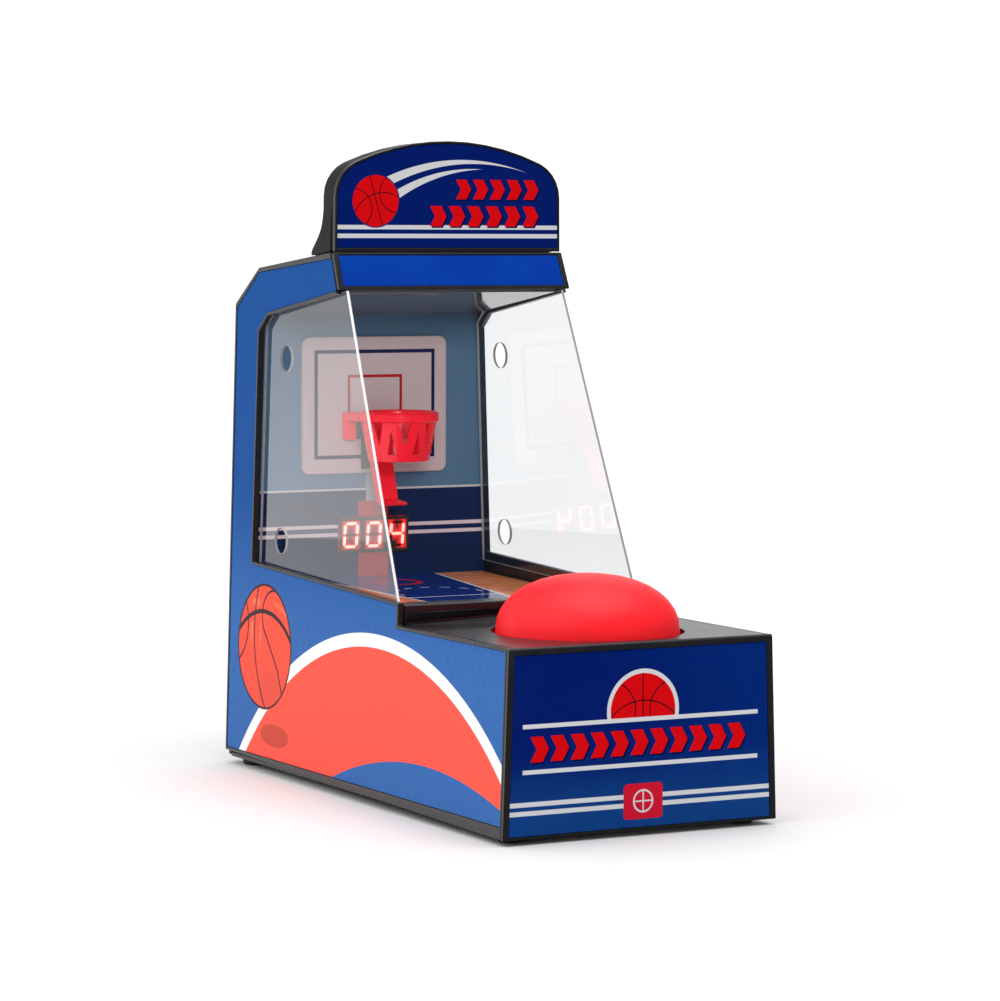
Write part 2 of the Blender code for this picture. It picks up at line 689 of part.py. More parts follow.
def display():
    """The three-digit display: its case with the digits' wells, and the small board it is soldered to."""
    module = keep("display_module", block((-11.6, 11.6), (160.1, 167.0), (63.8, 74.3)), (DARK_GREY, 0.4))
    for centre in (-7.8, 0.0, 7.8):
        cut(module, block((centre - 3.1, centre + 3.1), (159.0, 160.7), (64.7, 73.4)))
    keep("display_board", block((-16.0, 16.0), (167.3, 168.7), (60.0, 78.0)), (GREEN, 0.5))


# ---------------------------------------------------------------- thump button, kicker and ball


def thump_button():
    """The domed button: a skirt with a retaining flange, a spring boss and the rib that moves the kicker."""
    def dome(radius, height, base, angle):
        share = math.cos(angle) ** (2 / DOME_POWER), math.sin(angle) ** (2 / DOME_POWER)
        return (radius * share[0], base + height * share[1])

    outer = [dome(DOME_RADIUS, DOME_HEIGHT, DECK_Z, math.radians(a)) for a in range(80, 0, -10)]
    inner = [dome(DOME_RADIUS - 2.0, DOME_HEIGHT - 2.4, DECK_Z, math.radians(a)) for a in (10, 30, 50)]
    profile = [
        (0.0, DECK_Z + DOME_HEIGHT), *outer, (DOME_RADIUS, DECK_Z), (DOME_RADIUS, 49.9),
        (DOME_FLANGE_RADIUS, 49.9), (DOME_FLANGE_RADIUS, 48.1), (DOME_RADIUS - 2.0, 48.1), *inner,
        (8.6, 63.8), (8.6, 46.0), (0.0, 46.0),
    ]
    button = keep("thump_button", turned(profile, (0, DOME_Y), 48), (RED, 0.45))
    join(button, block((-3.0, 3.0), (PRESS_CONTACT_Y - 1.1, PRESS_CONTACT_Y + 1.1), (36.3, 64.2)))
    smooth(button, 35)
    hinge_origin(button, DOME_Y, DECK_Z)
    keep("spring_seat",
         turned([(0.0, 34.0), (4.4, 34.0), (4.4, 22.4), (8.2, 22.4), (8.2, 20.4), (5.4, 20.4), (5.4, 4.9),
                 (11.0, 4.9), (11.0, BAY_FLOOR), (0.0, BAY_FLOOR)], (0, DOME_Y), 24), (BLACK, 0.5))
    keep("button_spring", coil(DOME_Y, 0.0, 22.8, 45.6, 6.4, 0.5, 6), (STEEL, 0.3, 1.0))


def kicker():
    """The lever that the button tips: its pad comes up through the cup and throws the ball."""
    pivot_y, pivot_z = KICKER_PIVOT
    pad_y = BALL_CENTRE[0]
    lever = keep("kicker", block((-4.0, 4.0), (39.0, pad_y + 3.8), (33.0, 36.0)), (BLACK, 0.5))
    join(lever, rod((0, pivot_y, pivot_z), "X", 3.5, 8.5, 24))
    join(lever, rod((0, pad_y, 35.6), "Z", 3.2, 2.6, 20))
    cut(lever, rod((0, pivot_y, pivot_z), "X", 1.4, 30, 20))
    hinge_origin(lever, pivot_y, pivot_z)
    keep("kicker_pin", rod((0, pivot_y, pivot_z), "X", 1.15, 17.0, 20), (STEEL, 0.3, 1.0))
    bracket = keep("kicker_bracket", block((-9.0, 9.0), (54.0, 70.0), (BAY_FLOOR, 5.3)), (BLACK, 0.5))
    for side in (-1, 1):
        join(bracket, block(sorted((side * 4.6, side * 7.0)), (57.5, 66.5), (4.3, 38.6)))
    cut(bracket, rod((0, pivot_y, pivot_z), "X", 1.45, 30, 20))


def ball():
    body = bmesh.new()
    bmesh.ops.create_uvsphere(body, u_segments=20, v_segments=12, radius=BALL_RADIUS,
                              matrix=Matrix.Translation((0, *BALL_CENTRE)))
    piece = keep("ball", from_bmesh(body), ((0.7, 0.1, 0.03), 0.5))
    smooth(piece, 60)
    hinge_origin(piece, *BALL_CENTRE)


# ---------------------------------------------------------------- power and sound


def battery_bay():
    """An open-backed box for three cells one above another, its door and the door's captive screw."""
    half = BAY_HALF_WIDTH - 0.6
    upright = (BAY_LOW + 0.3, BAY_HIGH - 0.3)
    case = keep("battery_box", block((-half, half), (162.9, 176.2), upright), (BLACK, 0.5))
    cut(case, block((-half + 1.2, half - 1.2), (164.1, 180.0), (BAY_LOW + 1.5, BAY_HIGH - 1.5)))
    pitch = 2 * CELL_RADIUS + 0.5
    middle = (BAY_LOW + BAY_HIGH) / 2
    for number, level in enumerate((-1, 0, 1), 1):
        z = middle + level * pitch
        cell = keep(f"battery_{number}", rod((-0.6, 170.0, z), "X", CELL_RADIUS, CELL_LENGTH - 1.0, 24),
                    ((0.25, 0.25, 0.27), 0.3, 0.6))
        join(cell, rod((CELL_LENGTH / 2 - 0.9, 170.0, z), "X", 1.9, 1.4, 12))
    door_half = BAY_HALF_WIDTH - 0.3
    door = keep("battery_door", block((-door_half, door_half), (177.0, DEPTH - 0.1), upright), (BLACK, 0.5))
    soften(door, 0.3, 1)
    seat = DOOR_SCREW_Z
    cut(door, rod((0, DEPTH, seat), "Y", 2.7, 1.4, 20), rod((0, DEPTH, seat), "Y", 1.3, 8, 16))
    hinge_origin(door, DEPTH - 0.8, BAY_LOW + 0.9)
    screw = keep("door_screw", rod((0, DEPTH - 0.35, seat), "Y", 2.3, 0.3, 20), (STEEL, 0.35, 1.0))
    join(screw, rod((0, DEPTH - 1.2, seat), "Y", 1.0, 1.6, 12))
    cut(screw, block((-1.3, 1.3), (DEPTH - 0.35, DEPTH + 1), (seat - 0.25, seat + 0.25)))
    hinge_origin(screw, DEPTH - 0.8, BAY_LOW + 0.9)


DOOR_SCREW_Z = 40.5


def power_switch():
    """The slide switch: its knob in the back cover's slot, and the body behind."""
    knob = keep("switch_knob", block((-5.0, -0.6), (174.9, DEPTH - 0.3), (SWITCH_Z - 2.0, SWITCH_Z + 2.0)),
                ((0.6, 0.6, 0.6), 0.5))
    for x in (-4.2, -2.8, -1.4):
        cut(knob, block((x - 0.3, x + 0.3), (DEPTH - 0.7, DEPTH + 1), (SWITCH_Z - 3, SWITCH_Z + 3)))
    body = block((-7.5, 7.5), (170.0, 174.6), (SWITCH_Z - 3.5, SWITCH_Z + 3.5))
    keep("switch_body", body, (STEEL, 0.35, 1.0))


def electronics():
    board = keep("main_board", block((-30.0, 30.0), (132.0, 158.0), (7.3, 8.9)), (GREEN, 0.5))
    join(board, block((-6.0, 6.0), (141.0, 149.0), (8.5, 10.6)), rod((16, 148, 12), "Z", 3.2, 7.0, 16))
    for x in (-26.0, 26.0):
        join(board, rod((x, 145.0, BAY_FLOOR + 2.5), "Z", 2.0, 5.0, 12))
    cone = [(0.0, 8.4), (7.0, 8.4), (8.0, 5.6), (13.6, 5.0), (14.0, 4.4), (14.0, BAY_FLOOR), (0.0, BAY_FLOOR)]
    keep("speaker", turned(cone, (0, SPEAKER_Y), 28), (DARK_GREY, 0.4, 0.3))


def wires():
    """The leads held inside the housing, each from one part to the next."""
    looks = ((0.6, 0.02, 0.02), 0.5)
    keep("speaker_lead", wire(smooth_path([(10.0, 126.6, 4.2), (10.5, 128.6, 5.6), (11.0, 130.2, 7.6),
                                           (11.5, 131.4, 9.9), (12.0, 133.0, 9.9)]), 0.55), looks)
    keep("battery_lead", wire(smooth_path([(-14.0, 162.3, 14.0), (-14.5, 160.6, 15.6), (-15.5, 157.6, 14.0),
                                           (-16.0, 155.4, 11.0), (-16.0, 154.0, 9.75)]), 0.55), looks)
    keep("display_lead", wire(smooth_path([(12.0, 169.6, 62.0), (12.5, 170.4, 57.0), (12.5, 166.4, 50.0),
                                           (12.0, 160.6, 45.4), (11.0, 158.0, 36.0), (9.5, 156.4, 22.0),
                                           (8.5, 154.6, 12.6), (8.5, 152.6, 9.95)]), 0.7), looks)


side_wall("left_wall", -1)
side_wall("right_wall", 1)
side_label("left_label", -1)
side_label("right_label", 1)
front_housing()
front_label()
roof_cover()
hood_panel()
back_cover()
screws()
base_plate()
feet()
marquee()
clear_panels()
court_floor()
rear_wall()
backboard()
ceiling_panel()
hoop()
score_lever()
display()
thump_button()
kicker()
ball()
battery_bay()
power_switch()
electronics()
wires()
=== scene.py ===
"""Looks for a desktop basketball machine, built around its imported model.

Printed graphics and small pieces are laid out in the design frame: millimetres, x to the right, y back from
the front face, z up from the table. place() turns such a point into metres.
"""

import math

import bmesh
import bpy
from mathutils import Matrix, Vector

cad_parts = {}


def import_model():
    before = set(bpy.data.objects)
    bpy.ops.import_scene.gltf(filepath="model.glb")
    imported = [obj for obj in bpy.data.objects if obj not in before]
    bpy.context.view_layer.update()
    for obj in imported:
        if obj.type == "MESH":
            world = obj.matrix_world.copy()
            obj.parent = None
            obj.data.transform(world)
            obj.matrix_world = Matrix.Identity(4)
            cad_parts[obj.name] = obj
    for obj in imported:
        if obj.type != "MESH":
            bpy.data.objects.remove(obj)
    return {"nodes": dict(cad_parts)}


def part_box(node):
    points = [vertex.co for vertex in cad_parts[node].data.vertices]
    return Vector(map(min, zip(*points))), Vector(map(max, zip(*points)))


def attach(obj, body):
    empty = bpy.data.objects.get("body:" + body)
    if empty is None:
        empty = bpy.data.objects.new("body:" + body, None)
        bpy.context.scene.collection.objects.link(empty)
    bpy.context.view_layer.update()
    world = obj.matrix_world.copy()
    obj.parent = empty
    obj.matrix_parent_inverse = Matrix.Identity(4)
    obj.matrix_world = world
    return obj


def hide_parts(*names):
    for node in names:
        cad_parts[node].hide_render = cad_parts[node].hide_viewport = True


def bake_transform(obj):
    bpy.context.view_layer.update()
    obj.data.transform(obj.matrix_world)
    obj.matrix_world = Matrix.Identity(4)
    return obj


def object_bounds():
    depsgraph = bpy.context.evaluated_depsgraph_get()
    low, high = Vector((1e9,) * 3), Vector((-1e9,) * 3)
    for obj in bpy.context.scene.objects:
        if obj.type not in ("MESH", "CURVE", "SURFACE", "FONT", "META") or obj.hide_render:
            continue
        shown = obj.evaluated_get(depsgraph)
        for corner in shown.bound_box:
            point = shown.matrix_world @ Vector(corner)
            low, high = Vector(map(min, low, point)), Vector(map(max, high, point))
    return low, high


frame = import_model()
cad_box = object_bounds()
nodes = frame["nodes"]

MM = 0.001
FRONT_Y = cad_box[0].y
MACHINE_MIDDLE_Y = 89.0

# Camera: a long lens, a little above the marquee, to the left of the machine
CAMERA_PLACE = (-0.50765, -0.94401, 0.16263)
CAMERA_YAW = math.radians(28.498)
CAMERA_PITCH = math.radians(4.192)
CAMERA_ROLL = math.radians(-0.216)
LENS_IN_FRAME_WIDTHS = 3.7434
SENSOR = 36.0

FLOOR_CENTRE = (-0.3, 0.42, 0.0)
FLOOR_RADIUS = 0.86
# The floor is cut by a vertical plane, into the piece in front of the machine and the rest
FLOOR_SPLIT_POINT = (-0.045, -0.0895, 0.0)
FLOOR_SPLIT_NORMAL = (0.6, -0.8, 0.0)
# Distances from the machine's middle, in millimetres, between which the painted shade on the floor fades out
FLOOR_SHADE = (160.0, 420.0)

# The play pieces that the looks refer to
HOOP_CENTRE = (0.0, 144.0)
BALL_RADIUS = 7.0
LED_FACE_Y = 160.1
# Springs between the cabinet and a body: that body, the axis's y, and the z of the fixed and the moving end
COIL_SPRINGS = {
    "button_spring": ("button", 29.8, 22.8, 45.6),
    "lever_spring": ("lever", 170.0, 107.3, 104.2),
}


def place(x, y, z):
    return Vector((x * MM, FRONT_Y + y * MM, z * MM))


# ---------------------------------------------------------------- painting with shader nodes


class Field:
    """A number that varies over a surface. Arithmetic on it adds Math nodes to its material."""

    def __init__(self, tree, socket):
        self.tree = tree
        self.socket = socket

    def math(self, operation, *others, clamp=False):
        node = self.tree.nodes.new("ShaderNodeMath")
        node.operation = operation
        node.use_clamp = clamp
        for slot, value in zip(node.inputs, (self, *others)):
            if isinstance(value, Field):
                self.tree.links.new(value.socket, slot)
            else:
                slot.default_value = value
        return Field(self.tree, node.outputs[0])

    def __add__(self, other):
        return self.math("ADD", other)

    def __sub__(self, other):
        return self.math("SUBTRACT", other)

    def __mul__(self, other):
        return self.math("MULTIPLY", other)

    def __truediv__(self, other):
        return self.math("DIVIDE", other)

    def __neg__(self):
        return self.math("MULTIPLY", -1.0)

    def __abs__(self):
        return self.math("ABSOLUTE")

    def lower(self, other):
        return self.math("MINIMUM", other)

    def higher(self, other):
        return self.math("MAXIMUM", other)

    def fraction(self):
        return self.math("FRACT")

    def floor(self):
        return self.math("FLOOR")

    def root(self):
        return self.math("SQRT")

    def ramp(self, start, end):
        """0 before start and 1 after end, smooth between; start may be the larger."""
        node = self.tree.nodes.new("ShaderNodeMapRange")
        node.interpolation_type = "SMOOTHSTEP"
        node.inputs["From Min"].default_value = start
        node.inputs["From Max"].default_value = end
        self.tree.links.new(self.socket, node.inputs["Value"])
        return Field(self.tree, node.outputs["Result"])


def length(u, v):
    return (u * u + v * v).root()


def disc(u, v, centre, radius):
    """Distance outside a disc; negative inside it."""
    return length(u - centre[0], v - centre[1]) - radius


def ellipse(u, v, centre, half):
    return (length((u - centre[0]) / half[0], (v - centre[1]) / half[1]) - 1.0) * min(half)


def band(u, low, high):
    return abs(u - (low + high) / 2) - (high - low) / 2


def box(u, v, across, up, corner=0.0):
    """Distance outside a rectangle of two (low, high) pairs, with rounded corners."""
    outside_u = band(u, across[0] + corner, across[1] - corner)
    outside_v = band(v, up[0] + corner, up[1] - corner)
    if not corner:
        return outside_u.higher(outside_v)
    rounded = length(outside_u.higher(0.0), outside_v.higher(0.0)) + outside_u.higher(outside_v).lower(0.0)
    return rounded - corner


def line(u, v, start, end):
    """Distance from a straight stroke's middle line."""
    run = (end[0] - start[0], end[1] - start[1])
    size = run[0] ** 2 + run[1] ** 2
    from_u = u - start[0]
    from_v = v - start[1]
    share = (from_u * (run[0] / size) + from_v * (run[1] / size)).higher(0.0).lower(1.0)
    return length(from_u - share * run[0], from_v - share * run[1])


def ring(distance, half_thickness):
    return abs(distance) - half_thickness


def both(*distances):
    """The part inside all of the shapes."""
    joined = distances[0]
    for distance in distances[1:]:
        joined = joined.higher(distance)
    return joined


def either(*distances):
    joined = distances[0]
    for distance in distances[1:]:
        joined = joined.lower(distance)
    return joined


class Surface:
    """A material under construction: a Principled shader whose colour is painted in layers."""

    def __init__(self, name, colour, roughness, specular=0.5, metallic=0.0):
        self.material = bpy.data.materials.new(name)
        self.material.use_nodes = True
        self.tree = self.material.node_tree
        self.shader = self.tree.nodes["Principled BSDF"]
        self.shader.inputs["Base Color"].default_value = (*colour, 1.0)
        self.shader.inputs["Roughness"].default_value = roughness
        self.shader.inputs["Specular IOR Level"].default_value = specular
        self.shader.inputs["Metallic"].default_value = metallic
        self.colour = (*colour, 1.0)
        spot = self.tree.nodes.new("ShaderNodeTexCoord").outputs["Object"]
        to_design = self.tree.nodes.new("ShaderNodeVectorMath")
        to_design.operation = "MULTIPLY_ADD"
        self.tree.links.new(spot, to_design.inputs[0])
        to_design.inputs[1].default_value = (1 / MM, 1 / MM, 1 / MM)
        to_design.inputs[2].default_value = (0.0, -FRONT_Y / MM, 0.0)
        self.spot = to_design.outputs[0]
        split = self.tree.nodes.new("ShaderNodeSeparateXYZ")
        self.tree.links.new(self.spot, split.inputs[0])
        self.x, self.y, self.z = (Field(self.tree, output) for output in split.outputs)
        self.relief = None

    def paint(self, colour, mask):
        """Covers the colour so far where the mask is 1."""
        mix = self.tree.nodes.new("ShaderNodeMix")
        mix.data_type = "RGBA"
        under, over = mix.inputs[6], mix.inputs[7]
        if isinstance(self.colour, tuple):
            under.default_value = self.colour
        else:
            self.tree.links.new(self.colour, under)
        over.default_value = (*colour, 1.0)
        self.tree.links.new(mask.socket, mix.inputs[0])
        self.colour = mix.outputs[2]
        self.tree.links.new(self.colour, self.shader.inputs["Base Color"])

    def ink(self, colour, distance, strength=1.0, blur=0.09):
        """Prints the inside of a shape with a crisp edge."""
        cover = (distance * (-1 / blur) + 0.5).math("MULTIPLY", strength, clamp=True)
        self.paint(colour, cover.lower(strength))

    def noise(self, size, detail=2.0, stretch=(1.0, 1.0, 1.0), seed=0.0):
        """Noise about 0.5 whose features are about size millimetres across."""
        mapping = self.tree.nodes.new("ShaderNodeVectorMath")
        mapping.operation = "MULTIPLY_ADD"
        self.tree.links.new(self.spot, mapping.inputs[0])
        mapping.inputs[1].default_value = tuple(1 / (size * part) for part in stretch)
        mapping.inputs[2].default_value = (seed, seed * 0.7, seed * 1.3)
        node = self.tree.nodes.new("ShaderNodeTexNoise")
        node.inputs["Scale"].default_value = 1.0
        node.inputs["Detail"].default_value = detail
        self.tree.links.new(mapping.outputs[0], node.inputs["Vector"])
        return Field(self.tree, node.outputs["Fac"])

    def rough(self, field):
        self.tree.links.new(field.socket, self.shader.inputs["Roughness"])

    def bump(self, height, depth, strength=1.0):
        """Adds relief; height is a Field from 0 to 1 and depth its size in millimetres."""
        node = self.tree.nodes.new("ShaderNodeBump")
        node.inputs["Strength"].default_value = strength
        node.inputs["Distance"].default_value = depth * MM
        self.tree.links.new(height.socket, node.inputs["Height"])
        if self.relief is not None:
            self.tree.links.new(self.relief, node.inputs["Normal"])
        self.relief = node.outputs["Normal"]
        self.tree.links.new(self.relief, self.shader.inputs["Normal"])

    def glow(self, field, colour, strength):
        node = self.tree.nodes.new("ShaderNodeMix")
        node.data_type = "RGBA"
        node.inputs[6].default_value = (0.0, 0.0, 0.0, 1.0)
        node.inputs[7].default_value = (*colour, 1.0)
        self.tree.links.new(field.socket, node.inputs[0])
        self.tree.links.new(node.outputs[2], self.shader.inputs["Emission Color"])
        self.shader.inputs["Emission Strength"].default_value = strength


# ---------------------------------------------------------------- plain materials

WHITE_INK = (0.9, 0.9, 0.92)
# The white below is the same ink as WHITE_INK, made darker as painted shade for the front and marquee films,
# which face less light.
WHITE_INK_WITH_PAINTED_SHADE = (0.63, 0.64, 0.67)
NAVY_INK = (0.0005, 0.011, 0.135)
DEEP_NAVY_INK = (0.0005, 0.004, 0.045)
SIDE_BLUE = (0.003, 0.068, 0.28)
# The lighter blue below carries a painted reflection of the table on the side film.
SIDE_BLUE_WITH_PAINTED_REFLECTION = (0.038, 0.135, 0.4)
SIDE_DASH = (0.008, 0.05, 0.24)
HOOD_BLUE = (0.0005, 0.04, 0.35)
PRINT_RED = (0.66, 0.0015, 0.004)
CORAL = (0.9, 0.1, 0.068)
CHARCOAL_INK = (0.05, 0.03, 0.035)


def black_plastic(name="black_plastic", colour=(0.014, 0.014, 0.017), roughness=0.27, specular=0.45):
    """Injection-moulded black plastic with a fine spark grain and faint handling marks."""
    skin = Surface(name, colour, roughness, specular)
    grain = skin.noise(0.22, 3.0)
    skin.bump(grain, 0.02, 0.35)
    haze = skin.noise(9.0, 3.0, seed=4.0)
    skin.rough((haze * 0.12 + (roughness - 0.06)) + grain * 0.05)
    skin.paint(tuple(part * 1.7 for part in colour), haze.ramp(0.5, 0.8) * 0.5)
    return skin.material


def steel(name="zinc_steel"):
    metal = Surface(name, (0.55, 0.55, 0.56), 0.32, metallic=1.0)
    scratches = metal.noise(0.5, 4.0, stretch=(4.0, 1.0, 1.0))
    metal.rough(scratches * 0.25 + 0.2)
    metal.bump(scratches, 0.01, 0.3)
    return metal.material


def rubber():
    pad = Surface("foot_rubber", (0.022, 0.022, 0.023), 0.85)
    grain = pad.noise(0.35, 2.0)
    pad.bump(grain, 0.04, 0.5)
    pad.paint((0.04, 0.04, 0.042), grain.ramp(0.5, 0.8) * 0.6)
    return pad.material


def red_plastic(name, colour, roughness, grain_size=0.3, grain_depth=0.01, glow_through=0.0, specular=0.5):
    skin = Surface(name, colour, roughness, specular)
    skin.shader.inputs["Subsurface Weight"].default_value = glow_through
    skin.shader.inputs["Subsurface Radius"].default_value = (0.004, 0.0012, 0.0008)
    skin.shader.inputs["Subsurface Scale"].default_value = 0.4
    grain = skin.noise(grain_size, 3.0)
    skin.bump(grain, grain_depth, 0.5)
    flow = skin.noise(7.0, 2.0, seed=2.0)
    skin.paint(tuple(part * 0.82 for part in colour), flow.ramp(0.35, 0.75) * 0.35)
    skin.rough(flow * 0.12 + (roughness - 0.06))
    return skin.material


def clear_plastic():
    """Clear sheet: it passes nearly all light, and its outer skin mirrors by Fresnel for both of its faces."""
    material = bpy.data.materials.new("clear_sheet")
    material.use_nodes = True
    tree = material.node_tree
    tree.nodes.remove(tree.nodes["Principled BSDF"])
    through = tree.nodes.new("ShaderNodeBsdfTransparent")
    through.inputs["Color"].default_value = (0.982, 0.985, 0.987, 1.0)
    mirror = tree.nodes.new("ShaderNodeBsdfGlossy")
    mirror.inputs["Color"].default_value = (1.0, 1.0, 1.0, 1.0)
    mirror.inputs["Roughness"].default_value = 0.02
    gloss = tree.nodes.new("ShaderNodeFresnel")
    gloss.inputs["IOR"].default_value = 1.49
    leaving = tree.nodes.new("ShaderNodeNewGeometry").outputs["Backfacing"]
    both_faces = Field(tree, gloss.outputs[0]).math("MULTIPLY", 1.5, clamp=True)
    share = both_faces * (Field(tree, leaving) * -1.0 + 1.0)
    mix = tree.nodes.new("ShaderNodeMixShader")
    tree.links.new(share.socket, mix.inputs[0])
    tree.links.new(through.outputs[0], mix.inputs[1])
    tree.links.new(mirror.outputs[0], mix.inputs[2])
    tree.links.new(mix.outputs[0], tree.nodes["Material Output"].inputs["Surface"])
    return material


def cut_edge(name, colour, light):
    """A sheet's cut edge; light sets the strength of a painted white glow that stands in for the light the
    edge gathers.
    """
    edge = Surface(name, colour, 0.5)
    edge.shader.inputs["Emission Color"].default_value = (1.0, 1.0, 1.0, 1.0)
    edge.shader.inputs["Emission Strength"].default_value = light
    edge.bump(edge.noise(0.3, 2.0), 0.02, 0.5)
    return edge.material


# ---------------------------------------------------------------- printed films


def film(name, colour, roughness=0.16, specular=0.08):
    """The glossy film that every graphic is printed on, with a very slight ripple."""
    surface = Surface(name, colour, roughness, specular)
    surface.bump(surface.noise(5.5, 3.0, seed=1.0), 0.03, 0.35)
    surface.rough(surface.noise(14.0, 3.0, seed=7.0) * 0.12 + (roughness - 0.06))
    return surface


def basketball(film_surface, u, v, centre, radius, colour, seam_colour, seams, seam_half=0.18, extra=()):
    """A printed ball: a disc, and seams that are distances from their middle lines."""
    inside = disc(u, v, centre, radius)
    film_surface.ink(colour, inside)
    for colour_shift, patch in extra:
        film_surface.ink(colour_shift, both(patch, inside), strength=0.7, blur=0.8)
    film_surface.ink(seam_colour, both(either(*seams) - seam_half, inside))


def chevrons(film_surface, u, v, left, count, pitch, low, high, colour, shadow):
    """A row of solid chevrons, a plain arcade motif, with an offset shadow."""
    middle = (low + high) / 2
    lean = 0.55

    def row(offset):
        travel = (u - offset - left + abs(v + offset - middle) * lean) / pitch
        beat = band(travel.fraction(), 0.0, 0.62) * pitch
        whole = band(travel, 0.0, count - 0.2) * pitch
        return both(beat, whole, band(v + offset, low, high))

    film_surface.ink(shadow, row(0.45))
    film_surface.ink(colour, row(0.0))


def side_print():
    """Blue field with a large coral court circle, its white line, and a bouncing ball over its shadow."""
    art = film("side_film", SIDE_BLUE, 0.2, 0.02)
    y, z = art.y, art.z
    # Painted reflection: the blue field is lighter towards the bottom, standing in for the table's sheen on
    # the film.
    art.paint(SIDE_BLUE_WITH_PAINTED_REFLECTION, z.ramp(88.0, 40.0))
    row = (z / 4.4).floor()
    stagger = (row * 0.5).fraction()
    column = (y / 4.6 + stagger).fraction()
    dash = both(band(column, 0.46, 0.54) * 4.6, band((z / 4.4).fraction(), 0.3, 0.62) * 4.4)
    dashes = art.noise(11.0, 1.0, seed=3.0).ramp(0.35, 0.6)
    pattern = (dash * -2.0 + 0.5).math("MULTIPLY", 1.0, clamp=True) * dashes * 0.5
    art.paint(SIDE_DASH, pattern * z.ramp(85.0, 60.0))
    art.ink(WHITE_INK, disc(y, z, (76.7, -66.8), 115.4))
    art.ink(CORAL, disc(y, z, (76.7, -67.2), 111.9))
    art.ink((0.58, 0.075, 0.05), ellipse(y, z, (142.3, 12.1), (9.6, 3.3)), blur=0.3)
    inner = disc(y, z, (46.0, -145.4), 160.9)
    # The inner circle takes that lighter blue, with its painted reflection.
    art.ink(SIDE_BLUE_WITH_PAINTED_REFLECTION, inner)
    art.paint(SIDE_DASH, pattern * (inner * -4.0).math("MULTIPLY", 1.0, clamp=True))
    centre, radius = (151.0, 37.8), 18.7
    art.ink(CHARCOAL_INK, disc(y, z, centre, radius))
    seams = [
        ring(disc(y, z, (151.3, 21.9), 26.3), 0.32),
        ring(disc(y, z, (123.2, 43.0), 35.1), 0.0),
        ring(disc(y, z, (175.0, 43.2), 12.4), 0.0),
        both(ring(disc(y, z, (145.4, 47.2), 7.6), 0.0), (z - 41.2) * -1.0, (y - 143.5) * -1.0),
        line(y, z, (151.2, 42.4), (141.5, 31.6)),
        line(y, z, (141.5, 31.6), (138.0, 24.5)),
    ]
    light = (1.0, 0.2, 0.1)
    patches = [
        (light, ellipse(y, z, (157.5, 50.5), (3.0, 1.1))),
        (light, ring(disc(y, z, (150.2, 24.6), 27.2), 0.55).higher(band(y, 136.5, 145.0))),
        (light, ellipse(y, z, (160.2, 42.0), (0.9, 4.0))),
        (light, ellipse(y, z, (154.0, 41.0), (0.6, 4.5))),
        ((0.75, 0.085, 0.06), disc(y, z, (146.0, 22.0), 9.0)),
    ]
    basketball(art, y, z, centre, radius - 0.75, (0.86, 0.09, 0.055), CHARCOAL_INK, seams, 0.34, patches)
    return art.material


def front_print():
    """Navy film with a rising half ball, two lines, a row of chevrons, double stripes and a red tag."""
    art = film("front_film", NAVY_INK)
    x, z = art.x, art.z
    art.paint((0.0005, 0.02, 0.17), (x + z * 0.4).ramp(0.0, 55.0))
    art.paint((0.005, 0.05, 0.22), z.ramp(26.0, 4.0))
    mottle = art.noise(7.0, 3.0, stretch=(2.0, 1.0, 1.0)).ramp(0.45, 0.75)
    art.paint((0.004, 0.05, 0.24), mottle * z.ramp(30.0, 8.0) * 0.6)
    above = z * -1.0 + 31.9
    art.ink(WHITE_INK_WITH_PAINTED_SHADE, both(disc(x, z, (0.25, 33.85), 11.15), above))
    seams = [
        abs(x - 0.2),
        abs(disc(x, z, (-10.0, 33.95), 7.9)),
        abs(disc(x, z, (10.6, 33.7), 8.25)),
        abs(disc(x, z, (0.25, 22.65), 13.85)),
    ]
    clip = both(disc(x, z, (0.25, 33.8), 10.0), above)
    art.ink(PRINT_RED, clip)
    art.ink((0.004, 0.004, 0.006), both(either(*seams) - 0.17, clip))
    for low in (30.85, 18.75):
        art.ink(WHITE_INK_WITH_PAINTED_SHADE, box(x, z, (-36.4, 36.4), (low, low + 1.15)))
    chevrons(art, x, z, -32.3, 11, 6.1, 21.9, 28.7, PRINT_RED, DEEP_NAVY_INK)
    for low in (10.15, 7.8):
        art.ink(WHITE_INK_WITH_PAINTED_SHADE, band(z, low, low + 1.25))
    art.ink((0.6, 0.008, 0.03), box(x, z, (-5.65, 6.5), (4.6, 14.2), 1.2))
    ball = disc(x, z, (0.43, 9.4), 2.9)
    art.ink(WHITE_INK_WITH_PAINTED_SHADE, ring(ball, 0.25))
    art.ink(WHITE_INK_WITH_PAINTED_SHADE, both(either(abs(x - 0.43), abs(z - 9.4)) - 0.2, ball))
    return art.material


